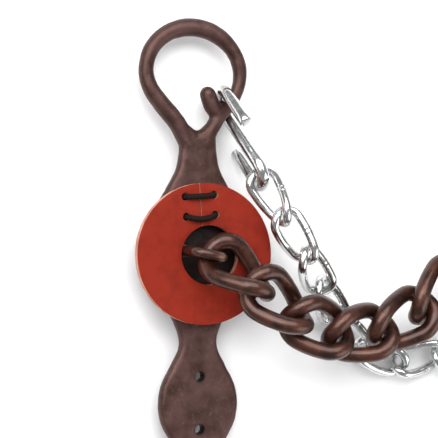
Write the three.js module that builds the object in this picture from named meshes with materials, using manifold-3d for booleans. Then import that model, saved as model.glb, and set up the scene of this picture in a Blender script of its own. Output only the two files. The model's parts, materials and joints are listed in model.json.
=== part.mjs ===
// Chain-nosed hackamore for riding tack: two forged cheeks, a heavy twisted-link nose chain
// between them, a laced leather guard on each staple, a curb chain on S-hooks and a rein ring
// at the foot of each shank. Laid open on a flat surface with the inner faces up.
// Millimetres. +X from the left cheek to the right, +Y up the cheeks, +Z out of the surface.
import * as THREE from 'three';
import { mergeVertices } from 'three/addons/utils/BufferGeometryUtils.js';
import Module from 'manifold-3d';

// ---- driving dimensions ----
const GAP = 0.3;                  // clearance between pieces that touch
const PLATE_BOTTOM = 6.3;         // the cheek lies a little above the surface
const PLATE_THICK = 6;
const PLATE_TOP = PLATE_BOTTOM + PLATE_THICK;
const PLATE_MID = PLATE_BOTTOM + PLATE_THICK / 2;
const PLATE_BEVEL = 1.2;
const LOOP_ROD = 5.8;             // forged round of the headstall loop
const THUMB_ROD = 6.4;
const REIN_HOLE = 4.2;            // two drilled holes in the shank's lower leaf
const REIN_HOLE_Y = [-51.5, -73.7];
const EYE_Y = -106;               // rein eye at the foot of the shank
const EYE_RADIUS = 9.5;
const EYE_ROD = 5;
const RING_RADIUS = 14;
const RING_ROD = 4;
const RING_LEAN = 31;             // degrees the loose rein ring leans over
const STAPLE_ROD = 4.2;
const STAPLE_SPAN = 13;
const STAPLE_X = -1.3;
const STAPLE_TURN = -12;          // degrees
const STAPLE_BAR_Z = 29.6;
const STAPLE_SHOULDER = 4;        // run of each rounded corner of the staple
const STAPLE_CORNER_CUT = 1.25;   // how far the bar passes inside the sharp corner
const HOOK_BEND_STEPS = 4;
const GUARD_RADIUS = 29.4;
const GUARD_THICK = 3.4;
const GUARD_BOTTOM = PLATE_TOP + 3.2;
const GUARD_TURN = 4;
const GUARD_HOLE = { x: 2.1, y: -0.6, radius: 12.4 };
const SLIT_X = -0.6;
const SLIT_WIDTH = 0.5;
const LACE_CORD = 2.5;
const LACE_HALF_SPAN = 6.3;
const LACE_HOLE = LACE_CORD / 2 + 1;
const LACES = { outer_lace: { x: -0.6, y: 24.2 }, inner_lace: { x: -0.6, y: 15.9 } };
const NOSE_WIRE = 7.2;
const NOSE_PITCH = 21.3;
const NOSE_WIDTH = 25.8;          // outside width of a nose-chain link
const CURB_WIRE = 4;
const CURB_PITCH = 19.7;
const CURB_WIDTH = 15.6;
const NOSE_TWIST = -45;           // degrees a link's front end is turned; its back end turns the other way
const CURB_TWIST = 45;
const LINK_GAP = 1.2;             // slack between one link's bend and the next
const HOOK_WIRE = 5.2;
const HOOK_BEND = 6.3;              // centreline radius of the S-hook's bends
const HOOK_SHANK = 28.1;
const HOOK_LEG_TOP = 16.2;
const HOOK_LEG_LOW = 17;
const HOOK_SEAT = new THREE.Vector3(13.2, 62.5, PLATE_MID);
const HOOK_HEADING = -70.5;         // degrees in plan
const HOOK_RISE = 40;
const HOOK_ROLL = 90;
const RIGHT_TURN = 12;            // the right cheek lies splayed by this angle

// Half-widths of the cheek's flat part, from the root of the loop down to the eye: [y, half-width].
const CHEEK_EDGE = [
  [50, 9.6], [42.6, 8.05], [35, 9.4], [26.7, 14.3], [17, 20.2], [8, 24.4], [-4, 25.6], [-15, 21],
  [-26, 12.2], [-37.2, 8.15], [-46, 11.6], [-55, 16.2], [-63.2, 17.5], [-71, 16.2], [-80, 11.6],
  [-89, 7.6], [-96, 7.4],
];
// Centre line of the round bar that makes the teardrop loop, from the left of the neck round to the right.
const LOOP_LINE = [
  [-4.6, 44], [-10.4, 55], [-16.3, 61.4], [-21.5, 68.4], [-23.1, 76.6], [-20.6, 85.6], [-13.6, 92.4],
  [-4, 95.2], [6, 93.4], [13.7, 87.6], [17.9, 79.5], [18.1, 71.5], [15.1, 63.8], [10, 58], [4.6, 50], [3.6, 44],
];
const THUMB_LINE = [[9.6, 57.8], [6.6, 62.4], [4.2, 67.7]];

// The chains, one row to a link: plan heading, rise and roll about the link's length, in degrees.
const NOSE_LINKS = [
  [-42, 22, -38], [-37, 2, -25], [-22, -8, 0], [3, -6, 5], [25, 0, 8], [44, 4, 15], [42, 0, 15],
  [30, 1, 20], [18, -16, 27],
];
const CURB_LINKS = [
  [-66, 24, 48], [-56, -5, 30], [-51, -28, 5], [-52, -28, 0], [-48, -7, 0], [-21, 0, 0], [14, 0, 0],
  [-24, 0, 0], [-60, 0, 0],
];

const deg = THREE.MathUtils.degToRad;
const UP = new THREE.Vector3(0, 0, 1);
const STEEL = { color: 0x5c3d36, roughness: 0.5, metalness: 0.85 };
const CHAIN = { color: 0x55321f, roughness: 0.4, metalness: 0.8 };
const CHROME = { color: 0xd8dde0, roughness: 0.12, metalness: 1 };
const LEATHER = { color: 0xa53020, roughness: 0.7, metalness: 0 };
const CORD = { color: 0x15110f, roughness: 0.85, metalness: 0 };

const hackamore = new THREE.Group();
const wasm = await Module();
wasm.setup();

function addPiece(parent, name, geometry, look) {
  const mesh = new THREE.Mesh(geometry, new THREE.MeshStandardMaterial(look));
  mesh.name = name;
  parent.add(mesh);
  return mesh;
}

// ---- solids that are joined or cut ----
function toSolid(geometry) {
  const bare = geometry.clone();
  bare.deleteAttribute('normal');
  bare.deleteAttribute('uv');
  const merged = mergeVertices(bare, 1e-4);
  const mesh = new wasm.Mesh({
    numProp: 3,
    vertProperties: new Float32Array(merged.attributes.position.array),
    triVerts: new Uint32Array(merged.index.array),
  });
  return new wasm.Manifold(mesh);
}

function toGeometry(solid) {
  const mesh = solid.getMesh();
  const geometry = new THREE.BufferGeometry();
  geometry.setAttribute('position', new THREE.BufferAttribute(mesh.vertProperties, 3));
  geometry.setIndex(new THREE.BufferAttribute(mesh.triVerts, 1));
  return geometry;
}

// ---- bars and rings ----
function barAlong(points, diameter, steps, sides = 8) {
  const section = new THREE.Shape();
  for (let i = 0; i < sides; i++) {
    const angle = (i + 0.5) * 2 * Math.PI / sides;
    const x = diameter / 2 * Math.cos(angle);
    const y = diameter / 2 * Math.sin(angle);
    if (i === 0) section.moveTo(x, y);
    else section.lineTo(x, y);
  }
  const path = new THREE.CatmullRomCurve3(points, false, 'centripetal');
  return new THREE.ExtrudeGeometry(section, { extrudePath: path, steps, bevelEnabled: false });
}

// A closed ring of round wire whose centre line is pathAt(turn), with sideAt(turn) pointing outwards.
function closedWire(pathAt, sideAt, diameter, steps, sides) {
  const hoop = 100;
  const geometry = new THREE.TorusGeometry(hoop, diameter / 2, sides, steps);
  const position = geometry.attributes.position;
  const STEP = 1e-3;
  for (let i = 0; i < position.count; i++) {
    const x = position.getX(i);
    const y = position.getY(i);
    const turn = Math.atan2(y, x);
    const out = Math.hypot(x, y) - hoop;
    const along = pathAt(turn + STEP).sub(pathAt(turn - STEP)).normalize();
    const side = sideAt(turn);
    side.addScaledVector(along, -side.dot(along)).normalize();
    const across = new THREE.Vector3().crossVectors(side, along);
    const point = pathAt(turn).addScaledVector(side, out).addScaledVector(across, position.getZ(i));
    position.setXYZ(i, point.x, point.y, point.z);
  }
  return geometry;
}

// Point of a stadium outline: straight sides 2 * flat long, round ends of radius bend.
function stadiumPoint(turn, flat, bend) {
  const lap = 4 * flat + 2 * Math.PI * bend;
  let s = ((turn / (2 * Math.PI)) % 1 + 1) % 1 * lap;
  const quarter = Math.PI * bend / 2;
  if (s < quarter) return [flat + bend * Math.cos(s / bend), bend * Math.sin(s / bend)];
  s -= quarter;
  if (s < 2 * flat) return [flat - s, bend];
  s -= 2 * flat;
  if (s < 2 * quarter) return [-flat - bend * Math.sin(s / bend), bend * Math.cos(s / bend)];
  s -= 2 * quarter;
  if (s < 2 * flat) return [-flat + s, -bend];
  s -= 2 * flat;
  return [flat + bend * Math.sin(s / bend), -bend * Math.cos(s / bend)];
}

// A chain link, its length along +X and its ends turned by twist, one each way, about it.
function linkGeometry(wire, pitch, width, twist, sides, steps) {
  const bend = (width - wire) / 2;
  const reach = (pitch + wire + LINK_GAP) / 2;
  const flat = Math.max(reach - bend, 0.01);
  const twisted = (u, v) => {
    const angle = deg(twist) * u / reach;
    return new THREE.Vector3(u, v * Math.cos(angle), v * Math.sin(angle));
  };
  const pathAt = (turn) => twisted(...stadiumPoint(turn, flat, bend));
  const sideAt = (turn) => {
    const [u, v] = stadiumPoint(turn, flat, bend);
    const end = Math.sign(u) * Math.max(Math.abs(u) - flat, 0);
    const angle = deg(twist) * u / reach;
    return new THREE.Vector3(end, v * Math.cos(angle), v * Math.sin(angle));
  };
  return closedWire(pathAt, sideAt, wire, steps, sides);
}

// Axes of a link or hook: forward from plan heading and rise, side and normal turned by roll.
function frameAxes(heading, rise, roll) {
  const flatForward = new THREE.Vector3(Math.cos(deg(heading)), Math.sin(deg(heading)), 0);
  const flatSide = new THREE.Vector3().crossVectors(UP, flatForward);
  const forward = flatForward.clone().multiplyScalar(Math.cos(deg(rise)));
  forward.addScaledVector(UP, Math.sin(deg(rise)));
  const normal = new THREE.Vector3().crossVectors(forward, flatSide);
  const side = flatSide.clone().multiplyScalar(Math.cos(deg(roll))).addScaledVector(normal, Math.sin(deg(roll)));
  return { forward, side, normal: new THREE.Vector3().crossVectors(forward, side) };
}

function placeAt(mesh, axes, origin) {
  const basis = new THREE.Matrix4().makeBasis(axes.forward, axes.side, axes.normal);
  mesh.quaternion.setFromRotationMatrix(basis);
  mesh.position.copy(origin);
}

// Lays a row of links end to end from the first contact point; returns the last contact point.
function layChain(prefix, first, rows, wire, pitch, width, twist, sides, steps) {
  const contact = first.clone();
  rows.forEach(([heading, rise, roll], index) => {
    const axes = frameAxes(heading, rise, roll);
    const look = prefix === 'nose_link' ? CHAIN : CHROME;
    const geometry = linkGeometry(wire, pitch, width, twist, sides, steps);
    const link = addPiece(hackamore, `${prefix}_${index + 1}`, geometry, look);
    placeAt(link, axes, contact.clone().addScaledVector(axes.forward, pitch / 2));
    contact.addScaledVector(axes.forward, pitch);
  });
  return contact;
}

// ---- cheek: forged plate with a round-bar loop, a hook thumb and a rein eye ----
function cheekGeometry() {
  const right = CHEEK_EDGE.map(([y, half]) => new THREE.Vector2(half, y));
  const left = CHEEK_EDGE.map(([y, half]) => new THREE.Vector2(-half, y)).reverse();
  const perStretch = 2;
  const outline = [
    ...new THREE.SplineCurve(right).getPoints(right.length * perStretch),
    ...new THREE.SplineCurve(left).getPoints(left.length * perStretch),
  ];
  const inset = outline.map((p) => new THREE.Vector2(p.x - Math.sign(p.x) * PLATE_BEVEL, p.y));
  const plate = new THREE.ExtrudeGeometry(new THREE.Shape(inset), {
    depth: PLATE_THICK - 2 * PLATE_BEVEL,
    bevelThickness: PLATE_BEVEL,
    bevelSize: PLATE_BEVEL,
    bevelSegments: 1,
  });
  plate.translate(0, 0, PLATE_BOTTOM + PLATE_BEVEL);
  const atMid = ([x, y]) => new THREE.Vector3(x, y, PLATE_MID);
  const loop = barAlong(LOOP_LINE.map(atMid), LOOP_ROD, 44);
  const thumb = barAlong(THUMB_LINE.map(atMid), THUMB_ROD, 5);
  const thumbEnd = new THREE.SphereGeometry(THUMB_ROD / 2, 8, 6);
  thumbEnd.translate(THUMB_LINE[2][0], THUMB_LINE[2][1], PLATE_MID);
  const eye = new THREE.TorusGeometry(EYE_RADIUS, EYE_ROD / 2, 8, 24);
  eye.translate(0, EYE_Y, PLATE_MID);
  let solid = toSolid(plate);
  for (const bar of [loop, thumb, thumbEnd, eye]) solid = solid.add(toSolid(bar));
  for (const y of REIN_HOLE_Y) {
    const drill = new THREE.CylinderGeometry(REIN_HOLE / 2, REIN_HOLE / 2, 4 * PLATE_THICK, 12);
    drill.rotateX(Math.PI / 2);
    drill.translate(0, y, PLATE_MID);
    solid = solid.subtract(toSolid(drill));
  }
  return toGeometry(solid);
}

// ---- staple: a bent round bar that holds the nose chain, welded to the hub of the cheek ----
function stapleGeometry() {
  const half = STAPLE_SPAN / 2;
  const foot = PLATE_TOP + GAP;
  const shoulder = STAPLE_BAR_Z - STAPLE_SHOULDER;
  const corner = [half - STAPLE_CORNER_CUT, STAPLE_BAR_Z - STAPLE_CORNER_CUT];
  const rightHalf = [
    [half - STAPLE_SHOULDER, STAPLE_BAR_Z], corner, [half, shoulder], [half, (foot + shoulder) / 2], [half, foot],
  ];
  const leftHalf = rightHalf.map(([x, z]) => [-x, z]).reverse();
  const points = [...leftHalf, ...rightHalf].map(([x, z]) => new THREE.Vector3(x, 0, z));
  return barAlong(points, STAPLE_ROD, 20);
}

// ---- guard: a leather disc with an off-centre hole, slit to its edge and laced shut ----
function guardGeometry() {
  const { x: holeX, y: holeY, radius: holeRadius } = GUARD_HOLE;
  const leftEdge = SLIT_X - SLIT_WIDTH / 2;
  const rightEdge = SLIT_X + SLIT_WIDTH / 2;
  const outerAngle = (x) => Math.acos(x / GUARD_RADIUS);
  const holeAngle = (x) => Math.acos((x - holeX) / holeRadius);
  const shape = new THREE.Shape();
  shape.absarc(0, 0, GUARD_RADIUS, outerAngle(leftEdge), outerAngle(rightEdge) + 2 * Math.PI, false);
  shape.absarc(holeX, holeY, holeRadius, holeAngle(rightEdge) + 2 * Math.PI, holeAngle(leftEdge), true);
  shape.closePath();
  for (const { x, y } of Object.values(LACES)) {
    for (const end of [-1, 1]) {
      const hole = new THREE.Path();
      hole.absarc(x + end * (LACE_HALF_SPAN - GAP), y, LACE_HOLE, 0, 2 * Math.PI, false);
      shape.holes.push(hole);
    }
  }
  const geometry = new THREE.ExtrudeGeometry(shape, { depth: GUARD_THICK, bevelEnabled: false, curveSegments: 20 });
  geometry.translate(0, 0, GUARD_BOTTOM);
  return geometry;
}

// ---- lace: a cord stitched through two holes, over the slit and back under it ----
function laceGeometry({ x, y }) {
  const bend = (GUARD_THICK + LACE_CORD) / 2 + GAP;
  const flat = LACE_HALF_SPAN - bend;
  const middle = new THREE.Vector3(x, y, GUARD_BOTTOM + GUARD_THICK / 2);
  const pathAt = (turn) => {
    const [u, v] = stadiumPoint(turn, flat, bend);
    return new THREE.Vector3(middle.x + u, middle.y, middle.z + v);
  };
  const sideAt = (turn) => {
    const [u, v] = stadiumPoint(turn, flat, bend);
    return new THREE.Vector3(Math.sign(u) * Math.max(Math.abs(u) - flat, 0), 0, v);
  };
  return closedWire(pathAt, sideAt, LACE_CORD, 24, 6);
}

// ---- S-hook: round wire bent both ways in one plane ----
function hookGeometry() {
  const axes = frameAxes(HOOK_HEADING, HOOK_RISE, HOOK_ROLL);
  const at = (along, across) => HOOK_SEAT.clone()
    .addScaledVector(axes.forward, along).addScaledVector(axes.side, across - HOOK_BEND);
  const bendPoints = (centreAlong, centreAcross, from, to) => {
    const points = [];
    for (let i = 0; i <= HOOK_BEND_STEPS; i++) {
      const angle = deg(from + (to - from) * i / HOOK_BEND_STEPS);
      points.push(at(centreAlong + HOOK_BEND * Math.cos(angle), centreAcross + HOOK_BEND * Math.sin(angle)));
    }
    return points;
  };
  const points = [
    at(HOOK_LEG_TOP, 2 * HOOK_BEND), at(HOOK_LEG_TOP / 2, 2 * HOOK_BEND),
    ...bendPoints(0, HOOK_BEND, 90, 270),
    at(HOOK_SHANK / 3, 0), at(2 * HOOK_SHANK / 3, 0),
    ...bendPoints(HOOK_SHANK, -HOOK_BEND, 90, -90),
    at(HOOK_SHANK - HOOK_LEG_LOW / 2, -2 * HOOK_BEND), at(HOOK_SHANK - HOOK_LEG_LOW, -2 * HOOK_BEND),
  ];
  return barAlong(points, HOOK_WIRE, 34);
}

function hookSeatForCurb() {
  const axes = frameAxes(HOOK_HEADING, HOOK_RISE, HOOK_ROLL);
  return HOOK_SEAT.clone()
    .addScaledVector(axes.forward, HOOK_SHANK + HOOK_BEND - HOOK_WIRE / 2)
    .addScaledVector(axes.side, -2 * HOOK_BEND);
}

// ---- rein ring: loose in the eye, leaning over on the surface ----
function ringGeometry() {
  const ring = new THREE.TorusGeometry(RING_RADIUS, RING_ROD / 2, 8, 24);
  ring.rotateY(deg(RING_LEAN));
  ring.translate(0, EYE_Y - RING_RADIUS, PLATE_MID);
  return ring;
}

// Everything that belongs to one cheek, in the cheek's own frame.
function layCheek(side, group) {
  addPiece(group, `${side}_cheek`, cheekGeometry(), STEEL);
  const staple = addPiece(group, `${side}_staple`, stapleGeometry(), STEEL);
  staple.rotation.z = deg(STAPLE_TURN);
  staple.position.x = STAPLE_X;
  const guard = new THREE.Group();
  guard.rotation.z = deg(GUARD_TURN);
  addPiece(guard, `${side}_guard`, guardGeometry(), LEATHER);
  for (const [name, place] of Object.entries(LACES)) addPiece(guard, `${side}_${name}`, laceGeometry(place), CORD);
  group.add(guard);
  addPiece(group, `${side}_curb_hook`, hookGeometry(), CHROME);
  addPiece(group, `${side}_rein_ring`, ringGeometry(), STEEL);
  hackamore.add(group);
}

// Where the nose chain pulls on a staple: the first link's bend goes round the nearer leg.
function noseAnchor(heading, rise) {
  const forward = frameAxes(heading, rise, 0).forward;
  const leg = new THREE.Vector3(STAPLE_SPAN / 2, 0, 0).applyAxisAngle(UP, deg(STAPLE_TURN));
  const bendToLeg = (NOSE_WIRE + STAPLE_ROD) / 2 + GAP;
  leg.x += STAPLE_X;
  const bend = leg.clone().addScaledVector(forward, -bendToLeg);
  bend.z = STAPLE_BAR_Z - (NOSE_WIRE + STAPLE_ROD) / 2 - GAP;
  return bend.addScaledVector(forward, (NOSE_WIRE + LINK_GAP) / 2);
}

const leftGroup = new THREE.Group();
layCheek('left', leftGroup);

const [firstHeading, firstRise] = NOSE_LINKS[0];
const noseStart = noseAnchor(firstHeading, firstRise);
const noseEnd = layChain(
  'nose_link', noseStart, NOSE_LINKS, NOSE_WIRE, NOSE_PITCH, NOSE_WIDTH, NOSE_TWIST, 8, 22,
);

const curbStart = hookSeatForCurb();
layChain('curb_link', curbStart, CURB_LINKS, CURB_WIRE, CURB_PITCH, CURB_WIDTH, CURB_TWIST, 6, 18);

// The right cheek mirrors the left and is set so that its own anchor meets the chain's last contact.
const rightGroup = new THREE.Group();
rightGroup.scale.x = -1;
rightGroup.rotation.z = deg(RIGHT_TURN);
const [lastHeading, lastRise] = NOSE_LINKS[NOSE_LINKS.length - 1];
const mirroredHeading = 180 - (lastHeading + 180 - RIGHT_TURN);
const rightAnchor = noseAnchor(mirroredHeading, -lastRise);
rightAnchor.x *= -1;
rightAnchor.applyAxisAngle(UP, deg(RIGHT_TURN));
rightGroup.position.set(noseEnd.x - rightAnchor.x, noseEnd.y - rightAnchor.y, 0);
layCheek('right', rightGroup);

// ---- origin: on the surface, under the middle of the whole piece ----
hackamore.updateMatrixWorld(true);
const box = new THREE.Box3().setFromObject(hackamore, true);
const middle = box.getCenter(new THREE.Vector3());
hackamore.position.set(-middle.x, -middle.y, -box.min.z);
hackamore.updateMatrixWorld(true);

export default hackamore;
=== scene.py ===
import json
import math

import bmesh
import bpy
from mathutils import Matrix, Vector, noise


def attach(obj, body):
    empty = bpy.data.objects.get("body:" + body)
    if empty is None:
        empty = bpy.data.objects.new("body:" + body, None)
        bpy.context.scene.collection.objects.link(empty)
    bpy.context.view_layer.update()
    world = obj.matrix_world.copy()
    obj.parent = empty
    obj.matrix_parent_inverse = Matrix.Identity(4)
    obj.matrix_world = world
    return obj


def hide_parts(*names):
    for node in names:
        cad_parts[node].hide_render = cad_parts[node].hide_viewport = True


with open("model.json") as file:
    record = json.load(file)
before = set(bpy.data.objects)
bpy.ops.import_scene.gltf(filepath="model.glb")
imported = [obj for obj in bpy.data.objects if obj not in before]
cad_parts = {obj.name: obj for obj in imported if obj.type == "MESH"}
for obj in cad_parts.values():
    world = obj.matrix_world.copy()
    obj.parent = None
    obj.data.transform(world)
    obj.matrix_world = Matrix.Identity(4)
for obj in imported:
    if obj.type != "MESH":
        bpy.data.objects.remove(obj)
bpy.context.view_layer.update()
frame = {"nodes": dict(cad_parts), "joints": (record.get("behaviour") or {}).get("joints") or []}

# ---- Camera -------------------------------------------------------------------------------
# The piece lies open on its back and is seen from above, leaning a little to its left side,
# with the left cheek upright in the view and the chains running out to the right.
MM = 0.001
HUB_LIFT = 4.7 * MM
AIM_RIGHT = 8.5 * MM
AIM_UP = 14.5 * MM
joints = {j["name"]: j for j in frame["joints"]}
left_hub = Vector(joints["left_guard_turn"]["pos_m"])
PLATE_TOP = left_hub.z - HUB_LIFT
VIEW_WIDTH = 184 * MM
LENS = 135
SENSOR = 36
LEAN = math.radians(20)
away = Vector((-math.sin(LEAN), 0, math.cos(LEAN)))
across = Vector((math.cos(LEAN), 0, math.sin(LEAN)))
upward = Vector((0, 1, 0))
aim = Vector((left_hub.x + AIM_RIGHT, left_hub.y + AIM_UP, PLATE_TOP))
camera = bpy.data.objects.new("camera", bpy.data.cameras.new("camera"))
camera.data.lens = LENS
camera.data.sensor_width = SENSOR
camera.data.clip_start = 0.01
camera.matrix_world = Matrix.Translation(aim + away * VIEW_WIDTH * LENS / SENSOR) @ Matrix(
    (across, upward, away)).transposed().to_4x4()
bpy.context.scene.collection.objects.link(camera)
bpy.context.scene.camera = camera

# ---- Studio -------------------------------------------------------------------------------
# A plain pale floor under large soft lights. The surroundings are a mid grey, so that bright
# metal has something darker to mirror between the lights.
FLOOR_SIZE = 6.0
LIGHTS = {  # place over the hub, size, power
    "key_light": ((-0.6, 0.35, 0.8), 0.8, 10),
    "top_light": ((0.05, 0.65, 0.95), 1.0, 13),
    "fill_light": ((0.75, -0.5, 0.6), 0.8, 5),
}
floor_mesh = bmesh.new()
bmesh.ops.create_grid(floor_mesh, x_segments=1, y_segments=1, size=FLOOR_SIZE / 2)
floor_data = bpy.data.meshes.new("floor")
floor_mesh.to_mesh(floor_data)
floor = bpy.data.objects.new("floor", floor_data)
bpy.context.scene.collection.objects.link(floor)
floor_paint = bpy.data.materials.new("floor_paint")
floor_paint.use_nodes = True
shader = floor_paint.node_tree.nodes["Principled BSDF"]
shader.inputs["Base Color"].default_value = (0.93, 0.93, 0.93, 1)
shader.inputs["Roughness"].default_value = 0.9
floor_data.materials.append(floor_paint)
for name, (place, size, power) in LIGHTS.items():
    lamp = bpy.data.objects.new(name, bpy.data.lights.new(name, "AREA"))
    lamp.data.size = size
    lamp.data.energy = power
    lamp.location = left_hub + Vector(place)
    lamp.rotation_euler = (-Vector(place)).to_track_quat("-Z", "Y").to_euler()
    bpy.context.scene.collection.objects.link(lamp)
world = bpy.data.worlds.new("studio")
world.use_nodes = True
world.node_tree.nodes["Background"].inputs["Color"].default_value = (0.95, 0.95, 0.97, 1)
world.node_tree.nodes["Background"].inputs["Strength"].default_value = 0.34
bpy.context.scene.world = world
bpy.context.scene.view_settings.view_transform = "Standard"

# ---- Cheeks -------------------------------------------------------------------------------
# Each cheek is one forging of mild steel: a flat shank with a hub and a leaf, drawn out at the
# top into round bar that is bent into a teardrop loop, with a thumb for the curb hook inside
# it, and at the foot into an eye. It has an antique brown finish over the hammer marks.
PLATE_THICK = 6 * MM
PLATE_MID = PLATE_TOP - PLATE_THICK / 2
EYE_Y = -106 * MM
EYE_RADIUS = 9.5 * MM
EYE_ROD = 5 * MM
REIN_HOLES = (-51.5 * MM, -73.7 * MM)
REIN_HOLE = 4.2 * MM
SKIN = 0.6 * MM
RIM_ROUND = 2.3 * MM
# Painted shade on the hub under the guard: darkened within this radius, fading out at its edge.
HUB_SHADE_RADIUS = 27 * MM
SHADE_FADE = 3 * MM
CHEEK_EDGE = [
    (48.5, 8), (45, 8), (41.5, 8.3), (35, 9.7), (26.7, 14.3), (17, 20.2), (8, 24.4), (-4, 25.6), (-15, 21),
    (-26, 12.2), (-37.2, 8.15), (-46, 11.6), (-55, 16.2), (-63.2, 17.5), (-71, 16.2), (-80, 11.6),
    (-89, 7.6), (-96, 7.4),
]
WEB = [(5.5, 53), (3.2, 54), (-0.4, 50.6), (-4.6, 55), (-7, 53)]
LOOP_LINE = [  # middle of the bar and its half thickness
    (-3.8, 44, 3.3), (-9.1, 54.6, 3.9), (-15.3, 61.8, 3.8), (-20.8, 68.9, 3.5), (-22.7, 76.8, 3.3),
    (-20.2, 85.6, 3.4), (-13.2, 92.2, 3.7), (-3.6, 94.9, 3.9), (6.4, 93.1, 3.8), (14.3, 87.4, 3.4),
    (18.6, 79.5, 3.2), (18.5, 71.5, 2.9), (15.3, 63.8, 2.7), (10, 58, 3.1), (4.9, 50, 3.4), (3.4, 44, 3.2),
]
THUMB_LINE = [(10.4, 57.4, 3.2), (6.7, 61.6, 3.6), (4.5, 67, 3.5)]


def smooth_line(points, per_stretch):
    """Points of a smooth curve through the given points."""
    points = [Vector(p) for p in points]
    ends = [2 * points[0] - points[1], *points, 2 * points[-1] - points[-2]]
    line = []
    for a, b, c, d in zip(ends, ends[1:], ends[2:], ends[3:]):
        for i in range(per_stretch):
            t = i / per_stretch
            line.append(b + (c - a) * (t / 2) + (2 * a - 5 * b + 4 * c - d) * (t * t / 2)
                        + (3 * b - a - 3 * c + d) * (t ** 3 / 2))
    return line + [points[-1]]


def sweep(bm, path, radius, sides=16, closed=False, outwards=None):
    """Round bar along a path: a ring at each point, bridged to the next. radius may be a list."""
    rings = []
    count = len(path)
    side = None
    for i, point in enumerate(path):
        before = path[i - 1] if i or closed else point
        after = path[(i + 1) % count] if i < count - 1 or closed else point
        along = (after - before).normalized()
        if outwards:
            side = outwards[i]
        elif side is None:
            side = along.orthogonal()
        side = (side - along * side.dot(along)).normalized()
        place = Matrix((side, along.cross(side), along)).transposed().to_4x4()
        place.translation = point
        size = radius[i] if isinstance(radius, list) else radius
        ring = bmesh.ops.create_circle(bm, segments=sides, radius=size, matrix=place)["verts"]
        rings.append(sorted({e for v in ring for e in v.link_edges}, key=lambda e: e.index))
    pairs = list(zip(rings, rings[1:]))
    if closed:
        pairs.append((rings[-1], rings[0]))
    for first, second in pairs:
        bmesh.ops.bridge_loops(bm, edges=first + second)
    if not closed:
        bmesh.ops.contextual_create(bm, geom=rings[0])
        bmesh.ops.contextual_create(bm, geom=rings[-1])
    bmesh.ops.recalc_face_normals(bm, faces=bm.faces)


def make_piece(name, bm, material, smooth=True):
    data = bpy.data.meshes.new(name)
    bm.to_mesh(data)
    bm.free()
    data.materials.append(material)
    for face in data.polygons:
        face.use_smooth = smooth
    piece = bpy.data.objects.new(name, data)
    bpy.context.scene.collection.objects.link(piece)
    return piece


def paint(piece, label, amounts):
    """Stores one amount to a vertex, for the finish to read."""
    layer = piece.data.attributes.new(label, "FLOAT", "POINT")
    layer.data.foreach_set("value", amounts)


def apply_modifiers(piece):
    """Turns the piece's modifiers into its mesh."""
    bpy.context.view_layer.update()
    finished = bpy.data.meshes.new_from_object(piece.evaluated_get(bpy.context.evaluated_depsgraph_get()))
    piece.modifiers.clear()
    piece.data = finished
    for face in finished.polygons:
        face.use_smooth = True


def add_node(tree, kind, inputs=(), **settings):
    """A shader node with its settings, its inputs given as values or as another node's outputs."""
    node = tree.nodes.new(kind)
    for key, value in settings.items():
        setattr(node, key, value)
    for key, value in dict(inputs).items():
        if isinstance(value, bpy.types.NodeSocket):
            tree.links.new(value, node.inputs[key])
        else:
            node.inputs[key].default_value = value
    return node


def mix(tree, factor, first, second):
    """Blends two colours; each may be a colour or another node's output."""
    return add_node(tree, "ShaderNodeMix", {0: factor, 6: first, 7: second}, data_type="RGBA").outputs[2]


def spread(tree, value, low, high, to_low=0.0, to_high=1.0):
    """Stretches the part of a pattern between low and high over the wanted range."""
    stretched = add_node(tree, "ShaderNodeMapRange", {
        "Value": value, "From Min": low, "From Max": high, "To Min": to_low, "To Max": to_high})
    return stretched.outputs["Result"]


def calculate(tree, operation, first, second):
    """One sum on two values, kept between 0 and 1."""
    node = add_node(tree, "ShaderNodeMath", {0: first, 1: second}, operation=operation, use_clamp=True)
    return node.outputs[0]


def pattern(tree, place, scale, detail=4.0, roughness=0.6):
    """Cloudy noise from 0 to 1."""
    return add_node(tree, "ShaderNodeTexNoise", {
        "Vector": place, "Scale": scale, "Detail": detail, "Roughness": roughness}).outputs["Fac"]


def new_group(name, inputs, outputs):
    """An empty shader group with named inputs (kind, default) and outputs (kind)."""
    group = bpy.data.node_groups.new(name, "ShaderNodeTree")
    for label, (kind, value) in inputs.items():
        socket = group.interface.new_socket(label, in_out="INPUT", socket_type=kind)
        socket.default_value = value
    for label, kind in outputs.items():
        group.interface.new_socket(label, in_out="OUTPUT", socket_type=kind)
    return group, group.nodes.new("NodeGroupInput").outputs, group.nodes.new("NodeGroupOutput")


COLOUR, FLOAT = "NodeSocketColor", "NodeSocketFloat"
antiqued, given, result = new_group("antiqued_iron", {
    "Base": (COLOUR, (0.1, 0.05, 0.04, 1)), "Dark": (COLOUR, (0.04, 0.02, 0.015, 1)),
    "Rubbed_and_glint": (COLOUR, (0.25, 0.17, 0.14, 1)), "Patch Scale": (FLOAT, 90.0), "Rub": (FLOAT, 0.5),
}, {"Color": COLOUR, "Roughness": FLOAT, "Height": FLOAT})
place = add_node(antiqued, "ShaderNodeTexCoord").outputs["Object"]
patches = pattern(antiqued, place, given["Patch Scale"], detail=5.0)
grain = pattern(antiqued, place, 1400.0, detail=3.0)
flecks = pattern(antiqued, place, 520.0, detail=6.0, roughness=0.75)
pits = add_node(antiqued, "ShaderNodeTexVoronoi", {"Vector": place, "Scale": 420.0}).outputs["Distance"]
edges = add_node(antiqued, "ShaderNodeNewGeometry").outputs["Pointiness"]
painted_glint = add_node(antiqued, "ShaderNodeAttribute", attribute_name="painted_glint").outputs["Fac"]
painted_shade = add_node(antiqued, "ShaderNodeAttribute", attribute_name="painted_shade").outputs["Fac"]
raised_edges = spread(antiqued, edges, 0.515, 0.58)
rub = calculate(antiqued, "MULTIPLY", raised_edges, spread(antiqued, grain, 0.35, 0.6))
rub = calculate(antiqued, "MULTIPLY", rub, given["Rub"])
rub = calculate(antiqued, "ADD", rub, spread(antiqued, flecks, 0.58, 0.82, 0.0, 0.35))
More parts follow.
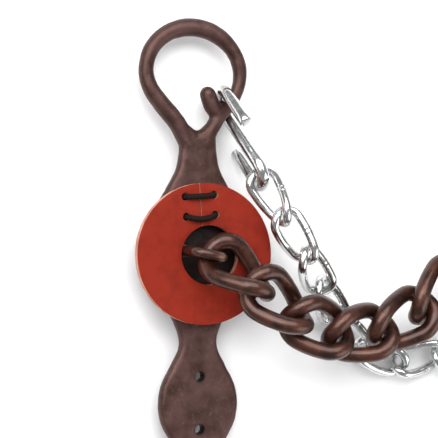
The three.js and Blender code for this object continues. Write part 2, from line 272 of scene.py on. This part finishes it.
# Adds the painted highlight on the staple's shoulder, drawn in the rubbed colour.
rub = calculate(antiqued, "ADD", rub, painted_glint)
colour = mix(antiqued, spread(antiqued, patches, 0.36, 0.62), given["Dark"], given["Base"])
colour = mix(antiqued, rub, colour, given["Rubbed_and_glint"])
# Painted shade: the colour goes near black where the cheek's painted shade amount is set.
colour = mix(antiqued, painted_shade, colour, (0.008, 0.004, 0.003, 1))
relief = add_node(antiqued, "ShaderNodeMath", {0: grain, 1: spread(antiqued, pits, 0.0, 0.35, -0.6, 0.0)},
                  operation="ADD").outputs[0]
antiqued.links.new(colour, result.inputs["Color"])
antiqued.links.new(spread(antiqued, patches, 0.3, 0.7, 0.36, 0.56), result.inputs["Roughness"])
antiqued.links.new(relief, result.inputs["Height"])


def iron(name, base, dark, rubbed_and_glint, patch_scale, rub, bump, metallic, coat):
    """Iron with the antique finish in random dark patches, lighter on rubbed edges and flecks, with painted
    shade in the rein holes and under the guard, and a painted highlight on the staple's shoulder.
    """
    material = bpy.data.materials.new(name)
    material.use_nodes = True
    tree = material.node_tree
    finish = add_node(tree, "ShaderNodeGroup", node_tree=antiqued)
    for label, value in {"Base": base, "Dark": dark, "Rubbed_and_glint": rubbed_and_glint,
                         "Patch Scale": patch_scale, "Rub": rub}.items():
        finish.inputs[label].default_value = value
    shader = tree.nodes["Principled BSDF"]
    shader.inputs["Metallic"].default_value = metallic
    shader.inputs["Coat Weight"].default_value = coat
    shader.inputs["Coat Roughness"].default_value = 0.17
    tree.links.new(finish.outputs["Color"], shader.inputs["Base Color"])
    tree.links.new(finish.outputs["Roughness"], shader.inputs["Roughness"])
    relief = add_node(tree, "ShaderNodeBump", {
        "Strength": bump, "Distance": 0.0002, "Height": finish.outputs["Height"]})
    tree.links.new(relief.outputs["Normal"], shader.inputs["Normal"])
    return material


antique_brown = iron(
    "antique_brown", (0.086, 0.042, 0.037, 1), (0.046, 0.02, 0.015, 1), (0.34, 0.23, 0.19, 1),
    patch_scale=110.0, rub=0.7, bump=0.35, metallic=0.65, coat=0.0)


def cheek_place(side):
    """From a cheek's own axes (hub at the origin, loop up) to where it lies. The right one is mirrored."""
    hub = Vector(joints[f"{side}_guard_turn"]["pos_m"])
    eye = Vector(joints[f"{side}_rein_ring_swing"]["pos_m"])
    up = (hub - eye).to_2d().normalized().to_3d()
    out = up.cross(Vector((0, 0, 1))) * (-1 if side == "right" else 1)
    turn = Matrix((out, up, Vector((0, 0, 1)))).transposed().to_4x4()
    return Matrix.Translation((hub.x, hub.y, 0)) @ turn


def put(bm, matrix):
    """Places a shape; a mirrored one is turned right side out again."""
    bmesh.ops.transform(bm, matrix=matrix, verts=bm.verts)
    if matrix.determinant() < 0:
        bmesh.ops.reverse_faces(bm, faces=bm.faces)


def cheek_forging():
    bm = bmesh.new()
    half = smooth_line([(w, y, 0) for y, w in CHEEK_EDGE], 5)
    outline = [(p.x, p.y) for p in half] + [(-p.x, p.y) for p in reversed(half)] + list(reversed(WEB))
    rim = [bm.verts.new((x * MM, y * MM, PLATE_TOP - PLATE_THICK)) for x, y in outline]
    base = bm.faces.new(rim)
    top = bmesh.ops.extrude_face_region(bm, geom=[base])["geom"]
    raised = [v for v in top if isinstance(v, bmesh.types.BMVert)]
    bmesh.ops.translate(bm, vec=(0, 0, PLATE_THICK), verts=raised)
    bmesh.ops.recalc_face_normals(bm, faces=bm.faces)
    edges = [e for e in bm.edges if e.is_manifold and e.calc_face_angle() > 1.2]
    bmesh.ops.bevel(bm, geom=edges, offset=RIM_ROUND, segments=2, profile=0.5, affect="EDGES", material=-1)
    for line in (LOOP_LINE, THUMB_LINE):
        bar = smooth_line(line, 6)
        sweep(bm, [Vector((p.x * MM, p.y * MM, PLATE_MID)) for p in bar], [p.z * MM for p in bar], sides=16)
    x, y, tip = THUMB_LINE[-1]
    bmesh.ops.create_uvsphere(bm, u_segments=16, v_segments=10, radius=tip * MM,
                              matrix=Matrix.Translation((x * MM, y * MM, PLATE_MID)))
    eye = [Vector((EYE_RADIUS * math.cos(a), EYE_Y + EYE_RADIUS * math.sin(a), PLATE_MID))
           for a in [math.tau * i / 48 for i in range(48)]]
    sweep(bm, eye, EYE_ROD / 2, sides=16, closed=True)
    return bm


forging = make_piece("forging", cheek_forging(), antique_brown)
remesh = forging.modifiers.new("skin", "REMESH")
remesh.mode = "VOXEL"
remesh.voxel_size = SKIN
even = forging.modifiers.new("even", "SMOOTH")
even.factor = 0.5
even.iterations = 10
apply_modifiers(forging)
drills = bmesh.new()
for y in REIN_HOLES:
    bmesh.ops.create_cone(drills, cap_ends=True, segments=32, radius1=REIN_HOLE / 2, radius2=REIN_HOLE / 2,
                          depth=4 * PLATE_THICK, matrix=Matrix.Translation((0, y, PLATE_MID)))
drill = make_piece("drill", drills, antique_brown)
cut = forging.modifiers.new("holes", "BOOLEAN")
cut.operation = "DIFFERENCE"
cut.solver = "EXACT"
cut.object = drill
apply_modifiers(forging)
bpy.data.objects.remove(drill)


def hammer_marks(bm, seed):
    """Shallow dents and waviness of hand forging, kept under a fifth of a millimetre."""
    bm.normal_update()
    for v in bm.verts:
        wave = noise.noise(v.co * 110 + Vector((seed, 0, 0)))
        dent = min(noise.noise(v.co * 260 + Vector((0, seed, 0))) + 0.12, 0)
        v.co += v.normal * (0.16 * wave + 0.3 * dent) * MM


for seed, side in enumerate(("left", "right")):
    bm = bmesh.new()
    bm.from_mesh(forging.data)
    hammer_marks(bm, 7.3 * (seed + 1))
    # Painted shade: darkens the hub under the guard and the walls of the rein holes towards black.
    painted_shade = []
    for v in bm.verts:
        to_hole = min(math.hypot(v.co.x, v.co.y - y) for y in REIN_HOLES) - REIN_HOLE / 2
        under_guard = (HUB_SHADE_RADIUS - v.co.xy.length) / SHADE_FADE
        painted_shade.append(0.9 * min(max(under_guard, 1 - to_hole / SKIN, 0), 1))
    put(bm, cheek_place(side))
    cheek = make_piece(f"{side}_forged_cheek", bm, antique_brown)
    paint(cheek, "painted_shade", painted_shade)
    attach(cheek, f"{side}_cheek")
    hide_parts(f"{side}_cheek")
bpy.data.objects.remove(forging)

# ---- Staples ------------------------------------------------------------------------------
# A staple of round bar stands on each hub, through the hole of the guard, and holds the end
# link of the nose chain. It is welded on, so its feet have a small bead of weld.
STAPLE_ROD = 4.1 * MM
STAPLE_HALF = 6.5
STAPLE_BAR = 29.6
STAPLE_X = -1.3 * MM
STAPLE_TURN = math.radians(-12)
STAPLE_FOOT = 12.3
BEAD_RADIUS = STAPLE_ROD * 0.55
BEAD_ROD = 1.4 * MM
BEAD_LIFT = 0.1 * MM
GLINT_REACH = 3.2 * MM
floor_lift = PLATE_TOP - STAPLE_FOOT * MM
staple_line = [
    (-STAPLE_HALF, STAPLE_FOOT), (-STAPLE_HALF, 19), (-STAPLE_HALF, STAPLE_BAR - 4),
    (-STAPLE_HALF + 1.3, STAPLE_BAR - 1.2), (-STAPLE_HALF + 4, STAPLE_BAR), (STAPLE_HALF - 4, STAPLE_BAR),
    (STAPLE_HALF - 1.3, STAPLE_BAR - 1.2), (STAPLE_HALF, STAPLE_BAR - 4), (STAPLE_HALF, 19),
    (STAPLE_HALF, STAPLE_FOOT),
]
chain_brown = iron(
    "chain_brown", (0.08, 0.024, 0.013, 1), (0.024, 0.007, 0.004, 1), (0.3, 0.16, 0.11, 1),
    patch_scale=130.0, rub=0.35, bump=0.16, metallic=0.75, coat=0.45)
for side in ("left", "right"):
    bm = bmesh.new()
    path = smooth_line([(x * MM, 0, z * MM + floor_lift) for x, z in staple_line], 5)
    sweep(bm, path, STAPLE_ROD / 2, sides=20)
    for end in (-1, 1):
        leg = Vector((end * STAPLE_HALF * MM, 0, PLATE_TOP + BEAD_LIFT))
        bead = [leg + Vector((BEAD_RADIUS * math.cos(a), BEAD_RADIUS * math.sin(a), 0))
                for a in [math.tau * i / 24 for i in range(24)]]
        sweep(bm, bead, BEAD_ROD / 2, sides=8, closed=True)
    # Painted highlight: a glint on the top of one shoulder, drawn in the rubbed colour and fading within a
    # few millimetres.
    shoulder = Vector((STAPLE_HALF - 1.2, 0, STAPLE_BAR + 1)) * MM + Vector((0, 0, floor_lift))
    rubbed_and_glint = [max(0.0, 1 - (v.co - shoulder).length / GLINT_REACH) for v in bm.verts]
    put(bm, cheek_place(side) @ Matrix.Translation((STAPLE_X, 0, 0)) @ Matrix.Rotation(STAPLE_TURN, 4, "Z"))
    staple = make_piece(f"{side}_welded_staple", bm, chain_brown)
    paint(staple, "painted_glint", rubbed_and_glint)
    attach(staple, f"{side}_cheek")
    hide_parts(f"{side}_staple")

# ---- Guards -------------------------------------------------------------------------------
# A disc of thick harness leather, dyed red on its faces, with an off-centre hole and a slit so
# that it goes on over the staple. The cut edges show the pale core of the leather.
GUARD_RADIUS = 29.4 * MM
GUARD_THICK = 3.4 * MM
GUARD_BOTTOM = PLATE_TOP + 3.2 * MM
GUARD_TURN = math.radians(4)
HOLE_PLACE = Vector((2.1, -0.6, 0)) * MM
HOLE_RADIUS = 12.4 * MM
SLIT_X = -0.6 * MM
SLIT_WIDTH = 0.5 * MM
SLIT_SHORT = 12 * MM
HIDE_WAVE = 0.28 * MM
LACE_Y = {"outer_lace": 24.2, "inner_lace": 15.9}
LACE_HALF_SPAN = 6.3
LACE_HOLE = 1.7 * MM

leather, given, result = new_group("dyed_leather", {
    "Dye": (COLOUR, (0.36, 0.03, 0.015, 1)), "Deep": (COLOUR, (0.2, 0.015, 0.008, 1)),
}, {"Color": COLOUR, "Roughness": FLOAT, "Height": FLOAT})
place = add_node(leather, "ShaderNodeTexCoord").outputs["Object"]
mottle = pattern(leather, place, 130.0, detail=6.0)
fibre = pattern(leather, place, 2600.0, roughness=0.7)
pores = add_node(leather, "ShaderNodeTexVoronoi", {
    "Vector": place, "Scale": 900.0}, feature="DISTANCE_TO_EDGE").outputs["Distance"]
relief = add_node(leather, "ShaderNodeMath", {0: spread(leather, pores, 0.0, 0.12), 1: fibre},
                  operation="ADD").outputs[0]
dyed = mix(leather, spread(leather, mottle, 0.3, 0.56), given["Deep"], given["Dye"])
leather.links.new(dyed, result.inputs["Color"])
leather.links.new(spread(leather, mottle, 0.0, 1.0, 0.72, 0.5), result.inputs["Roughness"])
leather.links.new(relief, result.inputs["Height"])


def hide(name, dye, deep, bump):
    """Leather in two shades of one dye."""
    material = bpy.data.materials.new(name)
    material.use_nodes = True
    tree = material.node_tree
    finish = add_node(tree, "ShaderNodeGroup", node_tree=leather)
    finish.inputs["Dye"].default_value = dye
    finish.inputs["Deep"].default_value = deep
    shader = tree.nodes["Principled BSDF"]
    shader.inputs["Specular IOR Level"].default_value = 0.15
    tree.links.new(finish.outputs["Color"], shader.inputs["Base Color"])
    tree.links.new(finish.outputs["Roughness"], shader.inputs["Roughness"])
    bumped = add_node(tree, "ShaderNodeBump", {
        "Strength": bump, "Distance": 0.00012, "Height": finish.outputs["Height"]})
    tree.links.new(bumped.outputs["Normal"], shader.inputs["Normal"])
    return material


red_leather = hide("red_leather", (0.215, 0.014, 0.004, 1), (0.165, 0.01, 0.003, 1), 0.35)
raw_edge = hide("raw_edge", (0.55, 0.27, 0.19, 1), (0.4, 0.14, 0.09, 1), 0.6)


def guard_disc():
    """The flat disc with its off-centre hole, in rows of faces that can follow the wave of the hide."""
    bm = bmesh.new()
    hole = Matrix.Translation(HOLE_PLACE + Vector((0, 0, GUARD_BOTTOM)))
    outer = bmesh.ops.create_circle(bm, segments=128, radius=GUARD_RADIUS,
                                    matrix=Matrix.Translation((0, 0, GUARD_BOTTOM)))["verts"]
    inner = bmesh.ops.create_circle(bm, segments=128, radius=HOLE_RADIUS, matrix=hole)["verts"]
    rims = list({e for v in outer + inner for e in v.link_edges})
    spokes = bmesh.ops.bridge_loops(bm, edges=rims)["edges"]
    bmesh.ops.subdivide_edges(bm, edges=spokes, cuts=7, use_grid_fill=True)
    top = bmesh.ops.extrude_face_region(bm, geom=list(bm.faces))["geom"]
    raised = [v for v in top if isinstance(v, bmesh.types.BMVert)]
    bmesh.ops.translate(bm, vec=(0, 0, GUARD_THICK), verts=raised)
    bmesh.ops.recalc_face_normals(bm, faces=bm.faces)
    return bm


def guard_cutter():
    """The slit and the four lace holes, as solids to cut away."""
    bm = bmesh.new()
    middle = GUARD_BOTTOM + GUARD_THICK / 2
    slit = Matrix.Translation((SLIT_X, GUARD_RADIUS, middle)) @ Matrix.Diagonal(
        (SLIT_WIDTH, 2 * GUARD_RADIUS - SLIT_SHORT, 4 * GUARD_THICK, 1))
    bmesh.ops.create_cube(bm, size=1, matrix=slit)
    for y in LACE_Y.values():
        for end in (-1, 1):
            hole = Matrix.Translation((SLIT_X + end * LACE_HALF_SPAN * MM, y * MM, middle))
            bmesh.ops.create_cone(bm, cap_ends=True, segments=20, radius1=LACE_HOLE, radius2=LACE_HOLE,
                                  depth=4 * GUARD_THICK, matrix=hole)
    return bm


disc = make_piece("disc", guard_disc(), red_leather)
cutter = make_piece("cutter", guard_cutter(), red_leather)
cut = disc.modifiers.new("slit", "BOOLEAN")
cut.operation = "DIFFERENCE"
cut.solver = "EXACT"
cut.object = cutter
soften = disc.modifiers.new("soften", "BEVEL")
soften.width = 0.45 * MM
soften.segments = 2
soften.limit_method = "ANGLE"
soften.angle_limit = math.radians(60)
apply_modifiers(disc)
bpy.data.objects.remove(cutter)
for seed, side in enumerate(("left", "right")):
    bm = bmesh.new()
    bm.from_mesh(disc.data)
    for v in bm.verts:
        wave = noise.noise(Vector((v.co.x, v.co.y, 0)) * 45 + Vector((3.1 * seed, 0, 0)))
        v.co.z += HIDE_WAVE * wave
    put(bm, cheek_place(side) @ Matrix.Rotation(GUARD_TURN, 4, "Z"))
    guard = make_piece(f"{side}_leather_guard", bm, red_leather)
    guard.data.materials.append(raw_edge)
    for face in guard.data.polygons:
        face.material_index = 1 if abs(face.normal.z) < 0.85 else 0
    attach(guard, f"{side}_guard")
    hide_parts(f"{side}_guard")
bpy.data.objects.remove(disc)

# ---- Laces --------------------------------------------------------------------------------
# Two stitches of waxed black cord close each slit. The cord is three strands laid together,
# and the inner stitch is pulled down towards the hole.
LACE_CORD = 2.5 * MM
STRANDS = 3
STRAND_OFFSET = LACE_CORD * 0.24
STRAND_RADIUS = LACE_CORD * 0.27
STRAND_TURNS = 9
LACE_DIP = {"outer_lace": 0.2, "inner_lace": 1.3}
black_cord = bpy.data.materials.new("black_cord")
black_cord.use_nodes = True
tree = black_cord.node_tree
shader = tree.nodes["Principled BSDF"]
place = add_node(tree, "ShaderNodeTexCoord").outputs["Object"]
fuzz = pattern(tree, place, 3200.0, roughness=0.7)
waxed = mix(tree, fuzz, (0.004, 0.002, 0.0015, 1), (0.014, 0.007, 0.0045, 1))
tree.links.new(waxed, shader.inputs["Base Color"])
shader.inputs["Roughness"].default_value = 0.7
shader.inputs["Specular IOR Level"].default_value = 0.15
rough_cord = add_node(tree, "ShaderNodeBump", {"Strength": 0.5, "Distance": 0.0001, "Height": fuzz})
tree.links.new(rough_cord.outputs["Normal"], shader.inputs["Normal"])


def stadium_point(part, flat, bend):
    """Point of a round-ended loop, part of the way round it, with straight sides 2 * flat long."""
    quarter = math.pi * bend / 2
    s = part * (4 * flat + 4 * quarter)
    if s < quarter:
        return flat + bend * math.cos(s / bend), bend * math.sin(s / bend)
    s -= quarter
    if s < 2 * flat:
        return flat - s, bend
    s -= 2 * flat
    if s < 2 * quarter:
        return -flat - bend * math.sin(s / bend), bend * math.cos(s / bend)
    s -= 2 * quarter
    if s < 2 * flat:
        return s - flat, -bend
    s -= 2 * flat
    return flat + bend * math.sin(s / bend), -bend * math.cos(s / bend)


def stitch_line(y, dip, count):
    """A flat loop of cord: over the guard, down a hole, under it and up the other hole."""
    bend = (GUARD_THICK + LACE_CORD) / 2 + 0.3 * MM
    flat = LACE_HALF_SPAN * MM - bend
    line = []
    for i in range(count):
        u, v = stadium_point(i / count, flat, bend)
        sag = dip * MM * max(0.0, v / bend) * (1 - (u / (flat + bend)) ** 2)
        line.append(Vector((SLIT_X + u, y * MM - sag, GUARD_BOTTOM + GUARD_THICK / 2 + v)))
    return line


def strand(centre_line, offset, turns, phase):
    """One strand that winds round the stitch's centre line."""
    count = len(centre_line)
    line = []
    for i, point in enumerate(centre_line):
        along = (centre_line[(i + 1) % count] - centre_line[i - 1]).normalized()
        side = Vector((0, 1, 0))
        side = (side - along * side.dot(along)).normalized()
        lift = along.cross(side)
        angle = math.tau * turns * i / count + phase
        line.append(point + (side * math.cos(angle) + lift * math.sin(angle)) * offset)
    return line


for side in ("left", "right"):
    for name, y in LACE_Y.items():
        bm = bmesh.new()
        centre_line = stitch_line(y, LACE_DIP[name], 120)
        for k in range(STRANDS):
            line = strand(centre_line, STRAND_OFFSET, STRAND_TURNS, math.tau * k / STRANDS)
            sweep(bm, line, STRAND_RADIUS, sides=8, closed=True)
        put(bm, cheek_place(side) @ Matrix.Rotation(GUARD_TURN, 4, "Z"))
        lace = make_piece(f"{side}_cord_{name}", bm, black_cord)
        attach(lace, f"{side}_guard")
        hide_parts(f"{side}_{name}")

# ---- Nose chain ---------------------------------------------------------------------------
# Nine heavy links of welded round bar, each twisted a quarter turn so that the chain lies
# flat, with the same brown finish as the cheeks but glossier from handling.
LINK_GAP = 1.2 * MM
SEAM_PLACE = 0.9 * MM
SEAM_WIDTH = 0.45 * MM
NOSE_UNEVEN = 0.006
NOSE_TWIST = math.radians(-45)
NOSE_WIRE = 7.2 * MM
NOSE_BAR = 6.95 * MM
NOSE_PITCH = 21.3 * MM
NOSE_WIDTH = 25.8 * MM
NOSE_LINKS = [  # plan heading, rise and roll of each link, in degrees
    (-42, 22, -38), (-37, 2, -25), (-22, -8, 0), (3, -6, 5), (25, 0, 8), (44, 4, 15), (42, 0, 15),
    (30, 1, 20), (18, -16, 27),
]


def link_shape(wire, bar, pitch, width, twist, count, sides, seam):
    """A twisted link along +X, of nominal wire and finished bar. seam is its weld rings' height."""
    bend = (width - wire) / 2
    reach = (pitch + wire + LINK_GAP) / 2
    flat = reach - bend
    path, outwards, radius = [], [], []
    for i in range(count):
        u, v = stadium_point(i / count, flat, bend)
        angle = twist * u / reach
        end = math.copysign(max(abs(u) - flat, 0), u)
        path.append(Vector((u, v * math.cos(angle), v * math.sin(angle))))
        outwards.append(Vector((end, v * math.cos(angle), v * math.sin(angle))))
        ring = min(abs(abs(u) - SEAM_PLACE) / SEAM_WIDTH, 1) if v > 0.99 * bend else 1
        radius.append(bar / 2 + seam * (1 - ring))
    bm = bmesh.new()
    sweep(bm, path, radius, sides=sides, closed=True, outwards=outwards)
    return bm


def link_place(node, heading, rise, roll):
    """Where a link lies: the middle of its solid, turned by its heading, rise and roll."""
    corners = [v.co for v in frame["nodes"][node].data.vertices]
    middle = sum(corners, Vector()) / len(corners)
    turn = (Matrix.Rotation(math.radians(heading), 4, "Z") @ Matrix.Rotation(math.radians(-rise), 4, "Y")
            @ Matrix.Rotation(math.radians(roll), 4, "X"))
    return Matrix.Translation(middle) @ turn


for i, (heading, rise, roll) in enumerate(NOSE_LINKS):
    bm = link_shape(NOSE_WIRE, NOSE_BAR, NOSE_PITCH, NOSE_WIDTH, NOSE_TWIST, 96, 24, 0)
    for v in bm.verts:
        v.co *= 1 + NOSE_UNEVEN * noise.noise(v.co * 140 + Vector((5.7 * i, 0, 0)))
    put(bm, link_place(f"nose_link_{i + 1}", heading, rise, roll))
    link = make_piece(f"nose_chain_link_{i + 1}", bm, chain_brown)
    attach(link, f"nose_link_{i + 1}")
    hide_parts(f"nose_link_{i + 1}")

# ---- Curb hooks ---------------------------------------------------------------------------
# An S-hook of plated wire hangs on the thumb side of each loop. Both its bends lie in one
# plane, and its ends are cut square with the burr taken off.
HOOK_WIRE = 5.3
HOOK_BEND = 6.3
HOOK_SHANK = 28.1
HOOK_LEG_TOP = 16.2
HOOK_LEG_LOW = 17
HOOK_SEAT = Vector((13.2 * MM, 62.5 * MM, PLATE_MID))
HOOK_HEADING = -70.5
HOOK_RISE = 40
HOOK_ROLL = 90
HOOK_BURR = 0.4 * MM

chrome_plate = bpy.data.materials.new("chrome_plate")
chrome_plate.use_nodes = True
tree = chrome_plate.node_tree
shader = tree.nodes["Principled BSDF"]
shader.inputs["Metallic"].default_value = 1.0
place = add_node(tree, "ShaderNodeTexCoord").outputs["Object"]
haze = pattern(tree, place, 260.0, detail=5.0)
tint = mix(tree, spread(tree, haze, 0.3, 0.6), (0.5, 0.5, 0.49, 1), (0.76, 0.77, 0.77, 1))
drawn = pattern(tree, place, 700.0, detail=3.0)
tree.links.new(tint, shader.inputs["Base Color"])
tree.links.new(spread(tree, haze, 0.35, 0.7, 0.13, 0.26), shader.inputs["Roughness"])
wire_marks = add_node(tree, "ShaderNodeBump", {"Strength": 0.14, "Distance": 0.0002, "Height": drawn})
tree.links.new(wire_marks.outputs["Normal"], shader.inputs["Normal"])


def hook_shape():
    """The S in its own plane: X along its shank from the upper bend, Y across it."""
    def bend_points(x, y, start, end):
        steps = 14
        return [(x + HOOK_BEND * math.cos(math.radians(start + (end - start) * i / steps)),
                 y + HOOK_BEND * math.sin(math.radians(start + (end - start) * i / steps)))
                for i in range(steps + 1)]
    line = [(HOOK_LEG_TOP * k / 5, 2 * HOOK_BEND) for k in range(5, 0, -1)]
    line += bend_points(0, HOOK_BEND, 90, 270)
    line += [(HOOK_SHANK * k / 8, 0) for k in range(1, 8)]
    line += bend_points(HOOK_SHANK, -HOOK_BEND, 90, -90)
    line += [(HOOK_SHANK - HOOK_LEG_LOW * k / 4, -2 * HOOK_BEND) for k in range(1, 5)]
    bm = bmesh.new()
    sweep(bm, [Vector((x * MM, (y - HOOK_BEND) * MM, 0)) for x, y in line], HOOK_WIRE / 2 * MM, sides=24)
    rims = [e for e in bm.edges if e.calc_face_angle(0) > 1]
    bmesh.ops.bevel(bm, geom=rims, offset=HOOK_BURR, segments=2, profile=0.5, affect="EDGES", material=-1)
    return bm


hook_turn = (Matrix.Rotation(math.radians(HOOK_HEADING), 4, "Z")
             @ Matrix.Rotation(math.radians(-HOOK_RISE), 4, "Y")
             @ Matrix.Rotation(math.radians(HOOK_ROLL), 4, "X"))
for side in ("left", "right"):
    bm = hook_shape()
    put(bm, cheek_place(side) @ Matrix.Translation(HOOK_SEAT) @ hook_turn)
    hook = make_piece(f"{side}_s_hook", bm, chrome_plate)
    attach(hook, f"{side}_curb_hook")
    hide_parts(f"{side}_curb_hook")

# ---- Curb chain ---------------------------------------------------------------------------
# Light twisted links of plated wire. Each is butt-welded in the middle of one side, which
# leaves two fine rings on the wire.
CURB_WIRE = 4 * MM
CURB_BAR = 3.75 * MM
CURB_PITCH = 19.7 * MM
CURB_WIDTH = 15.6 * MM
CURB_TWIST = math.radians(45)
CURB_SEAM = 0.15 * MM
CURB_LINKS = [  # plan heading, rise and roll of each link, in degrees
    (-66, 24, 48), (-56, -5, 30), (-51, -28, 5), (-52, -28, 0), (-48, -7, 0), (-21, 0, 0), (14, 0, 0),
    (-24, 0, 0), (-60, 0, 0),
]
for i, (heading, rise, roll) in enumerate(CURB_LINKS):
    bm = link_shape(CURB_WIRE, CURB_BAR, CURB_PITCH, CURB_WIDTH, CURB_TWIST, 160, 16, CURB_SEAM)
    put(bm, link_place(f"curb_link_{i + 1}", heading, rise, roll))
    link = make_piece(f"curb_chain_link_{i + 1}", bm, chrome_plate)
    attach(link, f"curb_link_{i + 1}")
    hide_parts(f"curb_link_{i + 1}")

# ---- Rein rings ---------------------------------------------------------------------------
# A loose ring of round steel bar hangs in the eye at the foot of each shank. It is bent
# through the eye and welded shut, and has the same antique brown finish as the cheek.
RING_RADIUS = 14 * MM
RING_ROD = 4 * MM
RING_LEAN = math.radians(31)
for side in ("left", "right"):
    bm = bmesh.new()
    circle = [Vector((RING_RADIUS * math.cos(a), RING_RADIUS * math.sin(a), 0))
              for a in [math.tau * i / 96 for i in range(96)]]
    sweep(bm, circle, RING_ROD / 2, sides=16, closed=True)
    put(bm, cheek_place(side) @ Matrix.Translation((0, EYE_Y - RING_RADIUS, PLATE_MID))
        @ Matrix.Rotation(RING_LEAN, 4, "Y"))
    ring = make_piece(f"{side}_loose_ring", bm, antique_brown)
    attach(ring, f"{side}_rein_ring")
    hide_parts(f"{side}_rein_ring")
